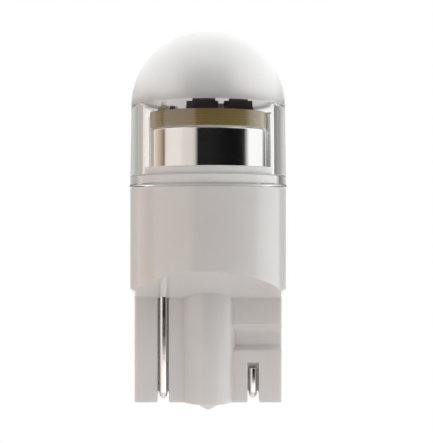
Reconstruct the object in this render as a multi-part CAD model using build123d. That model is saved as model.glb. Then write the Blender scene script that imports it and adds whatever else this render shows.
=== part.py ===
from build123d import *
import os
from math import hypot, radians, sqrt, tan

# A capless wedge-base signal bulb with a light-emitting diode, sizes in millimetres.
# The origin is the centre of the blade's bottom edge, where the blade bottoms in its socket.
# +Z runs along the bulb's axis to the top of the dome, X along the blade's width, and -Y is the front.
# The front and back of the base are the same shape, turned half a turn about Z.

# Wedge blade
blade_width = 9.5
blade_thickness = 2.1
blade_length = 6.76  # bottom edge to the sloping shoulder, on the blade's face
blade_edge_round = 0.1
rib_radius = 1.87  # round spine down the middle of both faces
pip_radius = 1.25  # moulding pip under the spine
pip_height = 0.77
pip_tip_radius = 0.45

# Retention scoop that a socket spring drops into, on one half of each face
scoop_bottom = 3.35
scoop_lip = 0.2  # rise of the lower lip, which the spring catches on
scoop_flat = 0.78
scoop_run = 0.7  # rise of the upper flank
scoop_depth = 0.45
scoop_round = 0.18

# Contact wires, bent under the blade from one face to the other
wire_diameter = 0.45
wire_spacing = 5.8  # between the two wires
wire_proud = 0.1  # how far the contact side stands out of the face
wire_sunk = 0.08  # how far the tucked end lies below the other face
wire_bend = 0.4  # bend radius at the wire's centre
wire_play = 0.02
wire_hole_play = 0.03
groove_side_play = 0.14
tuck_length = 1.4  # tucked end, above the bend
tuck_slot_height = 2.57
notch_height = 0.6
notch_round = 0.12
web_edge_round = 0.16  # kept under the inside of the wire's bend

# Body of the housing
body_diameter = 10.2
shoulder_slope = 25.4  # degrees, front and back
side_chamfer_top = 0.55  # above the blade's root
side_chamfer_slope = 58.8  # degrees from the level
body_height = 7.07  # blade root to the seam
body_rim_round = 0.06
lower_tier_height = 0.78
lower_tier_setback = 0.5
upper_tier_height = 0.49
tier_rim_round = 0.14
floor_skin = 0.4

# Clear window sleeve and opal dome
sleeve_wall = 0.86
sleeve_reach = 4.47  # seat to the joint with the dome
sleeve_taper = 0.07  # how much narrower it is at the dome
seam_gap = 0.03
bead_height = 0.19
bead_proud = 0.06
bead_setback = 0.02  # of its lower edge, inside the body's side
bead_crown_share = 0.45  # height of its widest ring
tier_play = 0.02
window_play = 0.06
dome_wall = 0.8
tongue_width = 0.26
tongue_height = 0.3
tongue_play = 0.01

# Heat-sink barrel, thermal pad and round board
board_play = 0.42
board_overhang = 0.07
board_thickness = 1.02
barrel_wall = 0.57
barrel_top_thickness = 0.6
barrel_rim_round = 0.12
barrel_show = 2.37  # bare height above the housing
barrel_depth = 3.6  # seated in the housing
barrel_play = 0.05
pad_thickness = 0.1
pad_setback = 0.04

# Feed wires from the driver board to the round board
feed_diameter = 0.42
feed_play = 0.05
feed_offset = 0.65  # out of the middle plane
feed_bend = 0.45
feed_landing = 0.95  # run over the top of the round board
feed_clearance = 0.05  # between that run and the board
feed_tip = 0.93  # height of the upturned end above the board
feed_run = 1.29  # level run from the driver board out to the rise
feed_foot = 0.55  # joint along the driver board
feed_fillet_share = 1.2  # the lower joint's height over the wire's
feed_drop = 0.75  # below the barrel's lower edge
notch_play = 0.08
joint_radius = 0.36  # solder ball on the round board
joint_height = 0.72
edge_joint_crown = 0.1

# Packages on the round board, whose plan sizes are for this radius of the board and follow it
layout_radius = 3.82
chip_depth = 1.25
chip_height = 0.8
chip_step_height = 0.58
chip_foot_draft = 2.0  # degrees
chip_draft = 7.0
chip_edge_margin = 0.05  # outermost corner of the packages to the board's edge
left_chip_x = -0.355
left_chip_width = 1.93
left_chip_steps = (0.28, 0.1)  # at its left and right end
right_chip_x = 1.775
right_chip_width = 1.69
right_chip_steps = (0.25, 0.19)
chip_fillet_width = 0.14
chip_fillet_height = 0.36
chip_fillet_share = 0.5  # of the package's depth
diode_side = 2.2
diode_corner = 0.12
diode_height = 0.6
cup_radius = 0.92
cup_depth = 0.36
cup_draft = 20.0
phosphor_crown = 0.06
back_resistor_length = 1.6
back_resistor_width = 0.8
back_resistor_height = 0.45
back_resistor_x = 1.35
back_resistor_setback = 1.47  # from the board's edge, on the middle plane
back_terminal_length = 0.3
small_resistor_length = 0.6  # beside the left package
small_resistor_width = 0.3
small_resistor_height = 0.26
small_resistor_x = -2.12
small_terminal_length = 0.15

# Upright driver board and its parts
driver_thickness = 0.8
driver_foot_margin = 0.3  # board beyond the contact wires
driver_gap = 0.15
pocket_half_depth = 1.75
pocket_corner = 0.4
pocket_play = 0.12
contact_stub = 0.95  # wire above the pocket floor
layout_bore = 3.18  # radius of the barrel's bore that the next sizes across it are for and follow
part_column = 1.42
capacitor_width = 1.6
capacitor_height = 1.2  # off the board
resistor_height = 0.55
rectifier_width = 1.7
rectifier_height = 0.95
lead_reach = 0.28
lead_height = 0.35
passive_length = 3.0  # the capacitor and the resistor, along the bulb
terminal_length = 0.45
rectifier_length = 1.25
rectifier_pitch = 1.8
rectifier_draft = 4.0
lead_width = 0.5
joint_margin = 0.1  # contact joint short of the wire's end and above the pocket's floor
contact_fillet_share = 1.2  # the contact joint's width over the wire's

# Heights and radii that follow from those
half_blade = blade_thickness / 2
wire_radius = wire_diameter / 2
wire_x = wire_spacing / 2
body_radius = body_diameter / 2
slope_rise = tan(radians(shoulder_slope))
shoulder_on_axis = blade_length - slope_rise * half_blade
body_top = blade_length + body_height
tier_ledge = body_top + lower_tier_height
spigot_top = tier_ledge + upper_tier_height
sleeve_top = tier_ledge + sleeve_reach
top_radius = body_radius - sleeve_taper
window_radius = body_radius - sleeve_wall
lower_tier_radius = body_radius - lower_tier_setback
upper_tier_radius = window_radius - window_play
board_radius = window_radius - board_play
barrel_radius = board_radius - board_overhang
barrel_bore = barrel_radius - barrel_wall
bore_radius = barrel_radius + barrel_play
barrel_top = spigot_top + barrel_show
barrel_seat = spigot_top - barrel_depth
board_bottom = barrel_top + pad_thickness
board_top = board_bottom + board_thickness
pocket_floor = shoulder_on_axis + slope_rise * body_radius + floor_skin
contact_y = half_blade + wire_proud - wire_radius
tucked_y = half_blade - wire_sunk - wire_radius
under_z = notch_height - wire_play - wire_radius
groove_width = wire_diameter + 2 * groove_side_play
feed_circle = (window_radius + barrel_radius) / 2
feed_x = sqrt(feed_circle**2 - feed_offset**2)
feed_radius = feed_diameter / 2
driver_half = driver_thickness / 2
driver_foot_half = wire_x + driver_foot_margin
driver_top = barrel_top - barrel_top_thickness - driver_gap
driver_body_half = sqrt(barrel_bore**2 - driver_half**2) - driver_gap
feed_level = barrel_seat - feed_drop
feed_start = feed_x - feed_run
chip_corner_x = right_chip_x + right_chip_width / 2
chip_front = sqrt((layout_radius - chip_edge_margin) ** 2 - chip_corner_x**2)
chip_y = chip_depth / 2 - chip_front
back_resistor_y = layout_radius - back_resistor_setback
small_resistor_y = small_resistor_width / 2 - chip_front
half_turn = Rot(0, 0, 180)


def span_box(x0, x1, y0, y1, z0, z1):
    """A box between two corners."""
    centre = Pos((x0 + x1) / 2, (y0 + y1) / 2, (z0 + z1) / 2)
    return centre * Box(abs(x1 - x0), abs(y1 - y0), abs(z1 - z0))


def rod(x, y, z0, z1, radius):
    """An upright round bar."""
    return Pos(x, y, z0) * extrude(Circle(radius), z1 - z0)


def turned_outline(*points):
    """A solid turned about Z from straight runs between points (radius, height)."""
    return revolve(Plane.XZ * make_face(Polyline(*points, close=True)), Axis.Z)


def bent_wire(points, bend, radius):
    """A round wire along straight runs joined by arcs of one radius."""
    path = FilletPolyline(*points, radius=bend)
    section = Plane(origin=path @ 0, z_dir=path % 0) * Circle(radius)
    return sweep(section, path=path)


def shoulder_at(depth):
    """Height of the sloping shoulder at a distance from the middle plane."""
    return shoulder_on_axis + slope_rise * depth


def both_faces(shape):
    """A feature of the front together with its copy on the back."""
    return shape + half_turn * shape


def round_rim(solid, height, radius):
    """The circular edges of a solid at one height and of one radius."""
    circles = solid.edges().filter_by(GeomType.CIRCLE)
    return circles.filter_by(lambda e: abs(e.center().Z - height) < 1e-6 and abs(e.radius - radius) < 1e-6)


def scoop_cutter():
    """Shallow trough across the wire-free half of the front face, steep below and gentle above."""
    over = 0.6
    floor = half_blade - scoop_depth
    flat_bottom = scoop_bottom + scoop_lip
    flat_top = flat_bottom + scoop_flat
    # the outline's X is the distance in front of the middle plane, its Y the height
    outline = Polyline(
        (half_blade + over, scoop_bottom - over * scoop_lip / scoop_depth),
        (floor, flat_bottom),
        (floor, flat_top),
        (half_blade + over, flat_top + (scoop_depth + over) * scoop_run / scoop_depth),
        close=True,
    )
    face = make_face(outline)
    face = fillet(face.vertices().sort_by(Axis.X)[:2], scoop_round)
    plane = Plane(origin=(0, 0, 0), x_dir=(0, -1, 0), z_dir=(-1, 0, 0))
    return extrude(plane * face, -(blade_width / 2 + over))


def pip():
    """Cone under the spine with a rounded tip, left by the mould's gate."""
    root = blade_edge_round
    cone = turned_outline((0, root), (pip_radius, root), (pip_radius, 0), (0, -pip_height))
    slant = hypot(pip_radius, pip_height)
    tip = min(pip_tip_radius, slant / 3)
    # the ball that touches the cone's flank all round takes the place of the point below that ring
    centre = tip * slant / pip_radius - pip_height
    ring = centre - tip * pip_radius / slant
    blunt = cone & rod(0, 0, ring, root, pip_radius)
    ball = Pos(0, 0, centre) * Sphere(tip)
    return blunt + (ball & rod(0, 0, centre - tip, ring, tip))


def shoulder_cutter():
    """Everything below the slope that runs down from the body's front to the blade."""
    far = body_diameter
    outline = make_face(
        Polyline(
            (0, shoulder_on_axis),
            (far, shoulder_at(far)),
            (far, -far),
            (0, -far),
            close=True,
        )
    )
    plane = Plane(origin=(far, 0, 0), x_dir=(0, -1, 0), z_dir=(-1, 0, 0))
    return extrude(plane * outline, 2 * far)


def housing_body():
    """Round body with two seating tiers on top and sloping shoulders below."""
    chamfer_top = blade_length + side_chamfer_top
    chamfer_run = (chamfer_top - shoulder_on_axis) / tan(radians(side_chamfer_slope))
    body = turned_outline(
        (0, shoulder_on_axis),
        (body_radius - chamfer_run, shoulder_on_axis),
        (body_radius, chamfer_top),
        (body_radius, body_top),
        (lower_tier_radius, body_top),
        (lower_tier_radius, tier_ledge),
        (upper_tier_radius, tier_ledge),
        (upper_tier_radius, spigot_top),
        (0, spigot_top),
    )
    body = fillet(round_rim(body, body_top, body_radius), body_rim_round)
    body = fillet(round_rim(body, spigot_top, upper_tier_radius), tier_rim_round)
    return body - both_faces(shoulder_cutter())


def wire_cutters():
    """Groove, bore, notch and tuck slot that one contact wire lies in."""
    x0, x1 = -wire_x - groove_width / 2, -wire_x + groove_width / 2
    groove_floor = contact_y - wire_radius - wire_play
    slot_floor = tucked_y - wire_radius - wire_play
    over = 1.0
    groove = span_box(x0, x1, -half_blade - over, -groove_floor, -over, shoulder_at(body_radius))
    slot = span_box(x0, x1, slot_floor, half_blade + over, -over, tuck_slot_height)
    notch = span_box(x0, x1, -half_blade - over, half_blade + over, -over, notch_height)
    hole = rod(-wire_x, -contact_y, shoulder_on_axis, pocket_floor + over, wire_radius + wire_hole_play)
    return groove, slot, notch, hole


def wedge_blade():
    """Flat blade with a round spine, a scoop, and the channels of both contact wires."""
    half = blade_width / 2
    root = shoulder_at(body_radius)
    blade = span_box(-half, half, -half_blade, half_blade, 0, root)
    lower = blade.edges().filter_by(lambda e: e.center().Z < root - 0.01)
    corners = lower.filter_by(lambda e: abs(abs(e.center().X) - half) < 1e-6)
    blade = fillet(corners, blade_edge_round)
    blade -= both_faces(scoop_cutter())
    spine = rod(0, 0, 0, root, rib_radius)
    groove, slot, notch, _ = wire_cutters()
    blade -= both_faces(groove)
    blade -= both_faces(slot)
    blade -= both_faces(notch)
    web = blade.edges().filter_by(Axis.X).filter_by(lambda e: abs(e.center().Z - notch_height) < 1e-6)
    blade = fillet(web, web_edge_round)
    mouth = blade.edges().filter_by(Axis.Y).filter_by(lambda e: abs(e.center().Z) < 1e-6)
    mouth = mouth.filter_by(lambda e: abs(abs(e.center().X) - wire_x) < groove_width)
    blade = fillet(mouth, notch_round)
    return blade + spine + pip()


def base_housing():
    """Moulded base: blade and body in one piece, bored for the barrel and the driver board."""
    housing = housing_body() + wedge_blade()
    over = 0.2
    housing -= rod(0, 0, barrel_seat, spigot_top + over, bore_radius)
    x1, y1 = driver_foot_half + pocket_play, pocket_half_depth
    pocket = span_box(-x1, x1, -y1, y1, pocket_floor, barrel_seat + over)
    housing -= fillet(pocket.edges().filter_by(Axis.Z), pocket_corner)
    _, _, _, hole = wire_cutters()
    housing -= both_faces(hole)
    channel = feed_radius + feed_play
    y0, y1 = feed_offset - channel, feed_offset + channel
    inner_x = min(driver_foot_half, feed_x - channel)
    housing -= both_faces(
        span_box(-feed_x - channel, -inner_x, y0, y1, feed_level - channel, spigot_top + over)
    )
    return housing


def clear_sleeve():
    """Clear window with a skirt that drops over the lower tier and a bead along its edge."""
    bottom = body_top + seam_gap
    skirt_bore = lower_tier_radius + tier_play
    bead_top = bottom + bead_height
    outer_line = Polyline(
        (body_radius, bead_top),
        (top_radius, sleeve_top),
        (window_radius, sleeve_top),
        (window_radius, tier_ledge),
        (skirt_bore, tier_ledge),
        (skirt_bore, bottom),
        (body_radius - bead_setback, bottom),
    )
    bead = ThreePointArc(
        (body_radius - bead_setback, bottom),
        (body_radius + bead_proud, bottom + bead_crown_share * bead_height),
        (body_radius, bead_top),
    )
    sleeve = revolve(Plane.XZ * make_face([*outer_line.edges(), bead]), Axis.Z)
    middle = (window_radius + top_radius) / 2
    half = tongue_width / 2
    tongue = rod(0, 0, sleeve_top, sleeve_top + tongue_height, middle + half)
    tongue -= rod(0, 0, sleeve_top, sleeve_top + tongue_height, middle - half)
    return sleeve + tongue


def diffuser_dome():
    """Opal half ball, hollow, grooved underneath for the sleeve's tongue."""
    inner = top_radius - dome_wall
    shell = Pos(0, 0, sleeve_top) * (Sphere(top_radius) - Sphere(inner))
    shell &= rod(0, 0, sleeve_top, sleeve_top + 2 * top_radius, 2 * top_radius)
    middle = (window_radius + top_radius) / 2
    half = tongue_width / 2 + tongue_play
    top = sleeve_top + tongue_height + tongue_play
    groove = rod(0, 0, sleeve_top, top, middle + half) - rod(0, 0, sleeve_top, top, middle - half)
    return shell - groove


def heat_sink_barrel():
    """Polished cup, turned mouth down, that carries the round board on its closed end."""
    barrel = rod(0, 0, barrel_seat, barrel_top, barrel_radius)
    rim = barrel.edges().filter_by(GeomType.CIRCLE).sort_by(Axis.Z)[-1]
    barrel = fillet(rim, barrel_rim_round)
    return barrel - rod(0, 0, barrel_seat, barrel_top - barrel_top_thickness, barrel_bore)


def thermal_pad():
    """Thin pad between the barrel and the round board."""
    return rod(0, 0, barrel_top, board_bottom, barrel_radius - barrel_rim_round - pad_setback)


def led_board():
    """Round board with an edge notch for each feed wire."""
    board = rod(0, 0, board_bottom, board_top, board_radius)
    return board - both_faces(feed_notch())


def feed_notch():
    """Round bite that a feed wire passes in the edge of the round board."""
    return rod(-feed_x, feed_offset, board_bottom, board_top, feed_radius + notch_play)


def plan(size):
    """A plan size or place on the round board, for the radius that the board has."""
    return size * board_radius / layout_radius


def on_board(x, y):
    """A place on top of the round board, given as laid out."""
    return Pos(plan(x), plan(y), board_top)


def driver_chip(centre_x, width, steps):
    """Moulded package with a wide foot and a drafted upper half."""
    depth, (left_step, right_step) = plan(chip_depth), steps
    foot = extrude(Rectangle(plan(width), depth), chip_step_height, taper=chip_foot_draft)
    upper_width = plan(width - left_step - right_step)
    upper_shift = plan(left_step - right_step) / 2
    upper = extrude(Rectangle(upper_width, depth), chip_height, taper=chip_draft)
    return on_board(centre_x, chip_y) * (foot + Pos(upper_shift, 0, 0) * upper)


def driver_chip_leads():
    """Solder fillets at both ends of both packages."""
    lean = chip_fillet_height * tan(radians(chip_foot_draft))
    wedges = []
    for x, width in ((left_chip_x, left_chip_width), (right_chip_x, right_chip_width)):
        half = plan(width / 2)
        toe = half + plan(chip_fillet_width)
        section = make_face(Polyline((half, 0), (toe, 0), (half - lean, chip_fillet_height), close=True))
        right = extrude(Plane.XZ * section, chip_fillet_share * plan(chip_depth) / 2, both=True)
        wedges += [on_board(x, chip_y) * right, on_board(x, chip_y) * half_turn * right]
    return wedges


def led_package():
    """White carrier of the light-emitting diode, with a round cup in its top."""
    carrier = extrude(Rectangle(plan(diode_side), plan(diode_side)), diode_height)
    return on_board(0, 0) * (fillet(carrier.edges().filter_by(Axis.Z), plan(diode_corner)) - diode_cup())


def diode_cup():
    """The cup's space: a cone that opens upwards."""
    floor, mouth_radius = diode_height - cup_depth, plan(cup_radius)
    foot_radius = mouth_radius - cup_depth * tan(radians(cup_draft))
    return turned_outline((0, floor), (foot_radius, floor), (mouth_radius, diode_height), (0, diode_height))


def led_phosphor():
    """Yellow filling of the cup, slightly crowned."""
    crown = round_mound(plan(cup_radius), phosphor_crown)
    return on_board(0, 0) * (diode_cup() + Pos(0, 0, diode_height) * crown)


def end_caps(length, width, height, cap):
    """Body and two metal caps of a chip part lying along X on the plane z = 0, centred on it."""
    middle = length - 2 * cap
    body = span_box(-middle / 2, middle / 2, -width / 2, width / 2, 0, height)
    left = span_box(-length / 2, -middle / 2, -width / 2, width / 2, 0, height)
    right = span_box(middle / 2, length / 2, -width / 2, width / 2, 0, height)
    return body, left, right


def board_resistors():
    """Two resistors behind the diode and a small one beside the left package: bodies, then caps."""
    large = (back_resistor_length, back_resistor_width, back_resistor_height, back_terminal_length)
    small = (small_resistor_length, small_resistor_width, small_resistor_height, small_terminal_length)
    bodies, caps = [], []
    for (length, width, height, cap), x, y in (
        (large, -back_resistor_x, back_resistor_y),
        (large, back_resistor_x, back_resistor_y),
        (small, small_resistor_x, small_resistor_y),
    ):
        body, left, right = end_caps(plan(length), plan(width), height, plan(cap))
        place = on_board(x, y)
        bodies.append(place * body)
        caps += [place * left, place * right]
    return bodies, caps


def driver_board():
    """Upright board: a foot in the pocket, a waist past the barrel's lip and a body inside the barrel."""
    foot_top = barrel_seat - driver_gap
    waist_half = min(driver_foot_half, driver_body_half)
    body_bottom = barrel_seat + driver_gap
    foot = span_box(-driver_foot_half, driver_foot_half, -driver_half, driver_half, pocket_floor, foot_top)
    waist = span_box(-waist_half, waist_half, -driver_half, driver_half, pocket_floor, body_bottom)
    body = span_box(-driver_body_half, driver_body_half, -driver_half, driver_half, body_bottom, driver_top)
    return foot + waist + body


def across(size):
    """A size or place across the barrel's bore, for the bore that it has."""
    return size * barrel_bore / layout_bore


def on_driver(shape, x, z, front=True):
    """Stands a part that was laid flat on z = 0, with its length along X, upright on the driver board."""
    upright = Pos(x, -driver_half, z) * Rot(90, 0, 0) * Rot(0, 0, 90) * shape
    return upright if front else half_turn * upright


def driver_parts():
    """Capacitor, load resistor and rectifiers, then every metal end of them."""
    middle, column = (barrel_seat + driver_top) / 2, across(part_column)
    passives, ends = [], []
    for height, front in ((capacitor_height, True), (resistor_height, False)):
        shapes = end_caps(passive_length, across(capacitor_width), across(height), terminal_length)
        body, low, high = [on_driver(shape, -column, middle, front) for shape in shapes]
        passives.append(body)
        ends += [low, high]
    rectifiers = []
    width, reach = across(rectifier_width), across(lead_reach)
    package = extrude(Rectangle(rectifier_length, width), across(rectifier_height), taper=rectifier_draft)
    right = span_box(-lead_width / 2, lead_width / 2, width / 2, width / 2 + reach, 0, across(lead_height))
    leads = [right - package, half_turn * right - package]
    for front in (True, False):
        for step in (-0.5, 0.5):
            z = middle + step * rectifier_pitch
            rectifiers.append(on_driver(package, column, z, front))
            ends += [on_driver(lead, column, z, front) for lead in leads]
    return *passives, rectifiers, ends


def contact_wire():
    """Wire from the pocket down the front of the blade, under it and up the back."""
    top = pocket_floor + contact_stub
    points = [
        (-wire_x, -contact_y, top),
        (-wire_x, -contact_y, under_z),
        (-wire_x, tucked_y, under_z),
        (-wire_x, tucked_y, under_z + wire_bend + tuck_length),
    ]
    return bent_wire(points, wire_bend, wire_radius)


def feed_wire_left():
    """Wire that climbs beside the barrel, turns in over the round board and ends turned up."""
    over = board_top + feed_radius + feed_clearance
    points = [
        (-feed_start, feed_offset, feed_level),
        (-feed_x, feed_offset, feed_level),
        (-feed_x, feed_offset, over),
        (feed_landing - feed_x, feed_offset, over),
        (feed_landing - feed_x, feed_offset, board_top + feed_tip),
    ]
    return bent_wire(points, feed_bend, feed_radius)


def feed_wire_right():
    """The other feed wire, which ends in its notch in the round board."""
    points = [
        (feed_start, -feed_offset, feed_level),
        (feed_x, -feed_offset, feed_level),
        (feed_x, -feed_offset, board_top),
    ]
    return bent_wire(points, feed_bend, feed_radius)


def round_mound(radius, height):
    """The part of a ball above z = 0 that stands on a ring of one radius."""
    ball_radius = (radius**2 + height**2) / (2 * height)
    ball = Pos(0, 0, height - ball_radius) * Sphere(ball_radius)
    return ball & rod(0, 0, 0, height, max(radius, ball_radius))


def contact_solder_joints():
    """Blobs that join each contact wire to the driver board."""
    low, high = pocket_floor + joint_margin, pocket_floor + contact_stub - joint_margin
    half = contact_fillet_share * wire_radius
    blob = span_box(-wire_x - half, -wire_x + half, -contact_y, -driver_half, low, high)
    blob = fillet(blob.edges().filter_by(Axis.Z).sort_by(Axis.Y)[:2], half - wire_radius)
    left = blob - contact_wire()
    return [left, half_turn * left]


def feed_solder_joints():
    """Blobs at both ends of both feed wires."""
    wire = feed_wire_left()
    y1 = feed_offset + feed_radius / 2
    rise = feed_fillet_share * feed_radius
    lower = span_box(
        -feed_start, feed_foot - feed_start, driver_half, y1, feed_level - rise, feed_level + rise
    )
    mound = Pos(feed_landing - feed_x, feed_offset, board_top) * round_mound(joint_radius, joint_height)
    crown = Pos(-feed_x, feed_offset, board_top) * round_mound(feed_radius + notch_play, edge_joint_crown)
    edge = (feed_notch() & rod(0, 0, board_bottom, board_top, board_radius)) - rod(
        -feed_x, feed_offset, board_bottom, board_top, feed_radius
    )
    return [lower, half_turn * lower, mound - wire, edge, half_turn * edge, half_turn * crown]


def export(name, shape):
    """Writes one node; a list becomes a group of separate solids."""
    if isinstance(shape, list):
        shape = Compound(children=[solid for item in shape for solid in item.solids()])
    export_step(shape, f"parts/{name}.step")


def main():
    os.makedirs("parts", exist_ok=True)
    resistor_bodies, resistor_caps = board_resistors()
    capacitor, resistor, rectifiers, part_ends = driver_parts()
    nodes = {
        "base_housing": base_housing(),
        "clear_sleeve": clear_sleeve(),
        "diffuser_dome": diffuser_dome(),
        "heat_sink_barrel": heat_sink_barrel(),
        "thermal_pad": thermal_pad(),
        "led_board": led_board(),
        "led_package": led_package(),
        "led_phosphor": led_phosphor(),
        "driver_chip_left": driver_chip(left_chip_x, left_chip_width, left_chip_steps),
        "driver_chip_right": driver_chip(right_chip_x, right_chip_width, right_chip_steps),
        "driver_chip_leads": driver_chip_leads(),
        "board_resistors": resistor_bodies,
        "board_resistor_caps": resistor_caps,
        "driver_board": driver_board(),
        "smoothing_capacitor": capacitor,
        "load_resistor": resistor,
        "rectifier_diodes": rectifiers,
        "driver_part_ends": part_ends,
        "contact_wire_front": contact_wire(),
        "contact_wire_back": half_turn * contact_wire(),
        "feed_wire_left": feed_wire_left(),
        "feed_wire_right": feed_wire_right(),
        "contact_solder_joints": contact_solder_joints(),
        "feed_solder_joints": feed_solder_joints(),
    }
    for name, shape in nodes.items():
        export(name, shape)


main()
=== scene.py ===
# %% [markdown]
# # A capless wedge-base signal bulb
#
# The bulb has a moulded off-white base with a flat blade, a clear window round a polished barrel, and an
# opal dome on top. The construction is finished already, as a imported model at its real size. This lesson
# gives it its looks.
#
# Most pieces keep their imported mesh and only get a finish. A few are turned or bent again here with many
# more steps, because a mirror or a clear wall shows every flat of a coarse mesh.

from math import cos, pi, radians, sin, tan

import bpy
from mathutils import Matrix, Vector


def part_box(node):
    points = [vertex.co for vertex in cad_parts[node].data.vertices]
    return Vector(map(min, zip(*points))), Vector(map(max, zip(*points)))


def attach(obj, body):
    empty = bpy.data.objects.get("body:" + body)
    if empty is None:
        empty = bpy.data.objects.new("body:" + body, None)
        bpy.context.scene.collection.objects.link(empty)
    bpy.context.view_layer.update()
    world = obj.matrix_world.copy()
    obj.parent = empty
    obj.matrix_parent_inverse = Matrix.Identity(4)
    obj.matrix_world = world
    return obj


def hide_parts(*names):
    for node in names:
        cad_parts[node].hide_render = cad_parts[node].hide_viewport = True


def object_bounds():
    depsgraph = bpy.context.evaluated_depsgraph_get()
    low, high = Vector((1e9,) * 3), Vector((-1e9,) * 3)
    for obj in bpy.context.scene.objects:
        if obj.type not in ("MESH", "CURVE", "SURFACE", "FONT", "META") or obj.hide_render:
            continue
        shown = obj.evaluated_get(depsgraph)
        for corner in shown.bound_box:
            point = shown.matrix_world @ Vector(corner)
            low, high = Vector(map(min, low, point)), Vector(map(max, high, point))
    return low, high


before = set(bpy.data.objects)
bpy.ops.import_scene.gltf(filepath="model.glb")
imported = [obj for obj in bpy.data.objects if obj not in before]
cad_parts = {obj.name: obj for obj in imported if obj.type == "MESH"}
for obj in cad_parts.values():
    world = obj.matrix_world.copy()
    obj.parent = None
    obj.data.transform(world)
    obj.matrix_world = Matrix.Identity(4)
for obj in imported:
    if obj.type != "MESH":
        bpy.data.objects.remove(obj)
packed_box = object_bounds()
scene = bpy.context.scene
MM = 0.001
print(len(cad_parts), "packed nodes,", round((packed_box[1].z - packed_box[0].z) / MM, 2), "mm tall")

# %% [markdown]
# ## The camera
#
# The photograph was taken level, from 56 mm away, a little above the middle of the bulb. A camera that
# stays level keeps the bulb's sides upright. The bulb sits a little left of the picture's centre and the
# horizon a little above it, and a small lens shift gives that without turning the camera.

# %% Place the camera
PICTURE_WIDTH, PICTURE_HEIGHT = 433, 443
HORIZON_ROW = 212.0
AXIS_COLUMN = 208.2
FOCAL_PIXELS = 848.0
CAMERA_DISTANCE = 55.7 * MM
CAMERA_HEIGHT = 12.27 * MM

lens = bpy.data.cameras.new("level_lens")
lens.sensor_width = 36.0
lens.lens = lens.sensor_width * FOCAL_PIXELS / PICTURE_HEIGHT
lens.shift_x = (PICTURE_WIDTH / 2 - AXIS_COLUMN) / PICTURE_HEIGHT
lens.shift_y = (HORIZON_ROW - PICTURE_HEIGHT / 2) / PICTURE_HEIGHT
lens.clip_start = 1 * MM
camera = bpy.data.objects.new("level_camera", lens)
camera.location = (0, -CAMERA_DISTANCE, CAMERA_HEIGHT)
camera.rotation_euler = (pi / 2, 0, 0)
scene.collection.objects.link(camera)
scene.camera = camera
scene.view_settings.view_transform = "Standard"
print("lens", round(lens.lens, 1), "mm, shift", round(lens.shift_x, 4), round(lens.shift_y, 4))

# %% [markdown]
# ## Helpers for node trees
#
# Every finish and the studio itself are node trees. A few short helpers keep them readable: one adds a
# node with its settings, and the others join a Math node, a colour ramp or a colour mix to sockets that
# are there already.

# %% Write the helpers
def add_node(tree, kind, **values):
    """A node whose settings and input values are given by name."""
    node = tree.nodes.new(kind)
    for name, value in values.items():
        if hasattr(node, name):
            setattr(node, name, value)
        else:
            node.inputs[name.replace("_", " ")].default_value = value
    return node


def join(tree, source, socket):
    """Feeds a socket from an output socket, or sets it to a plain value."""
    if isinstance(source, bpy.types.NodeSocket):
        tree.links.new(source, socket)
    elif socket.type == "RGBA" and isinstance(source, (int, float)):
        socket.default_value = (source, source, source, 1)
    elif socket.type == "RGBA":
        socket.default_value = (*source, 1)
    else:
        socket.default_value = source


def math_node(tree, operation, *operands):
    """A Math node. Each operand is a number or an output socket."""
    node = add_node(tree, "ShaderNodeMath", operation=operation)
    for socket, operand in zip(node.inputs, operands):
        join(tree, operand, socket)
    return node.outputs[0]


def ramp_node(tree, factor, stops, smooth=False):
    """A colour ramp through stops of (place, colour), where a colour may be one grey level."""
    node = tree.nodes.new("ShaderNodeValToRGB")
    node.color_ramp.interpolation = "EASE" if smooth else "LINEAR"
    elements = node.color_ramp.elements
    while len(elements) < len(stops):
        elements.new(0.5)
    for element, (place, colour) in zip(elements, stops):
        element.position = place
        grey = isinstance(colour, (int, float))
        element.color = (colour, colour, colour, 1) if grey else (*colour, 1)
    tree.links.new(factor, node.inputs[0])
    return node.outputs[0]


def mix_node(tree, factor, first, second):
    """A colour Mix node. The factor and both colours are values or output sockets."""
    node = add_node(tree, "ShaderNodeMix", data_type="RGBA")
    for socket, source in ((node.inputs[0], factor), (node.inputs[6], first), (node.inputs[7], second)):
        join(tree, source, socket)
    return node.outputs[2]


print("node helpers ready")

# %% [markdown]
# ## The studio
#
# Polished metal shows the room around it, so the room has to be right before the metal can be. The barrel
# in the photograph mirrors a dark gap in front, a cream card on the left, a narrow dark join and a tan
# wall behind that, and a white card on the right. Lamps could do this with cards of each colour. Painting
# the room on the world is plainer: one colour ramp runs round the bulb by compass direction, and others
# fade it into a table below, soft boxes at the sides higher up, and a white ceiling that is brightest
# behind the bulb.
#
# The clear window bends what is seen through it. The compass directions below are those where each colour
# of the photograph comes from once that bending is allowed for.

# %% Colour the cards
WHITE_CARD = (1.06, 1.06, 1.055)
CREAM_CARD = (0.86, 0.80, 0.745)
DARK_GAP = (0.012, 0.0115, 0.0115)
DEEP_GAP = (0.003, 0.003, 0.003)
GREY_WALL = (0.27, 0.265, 0.255)

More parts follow.
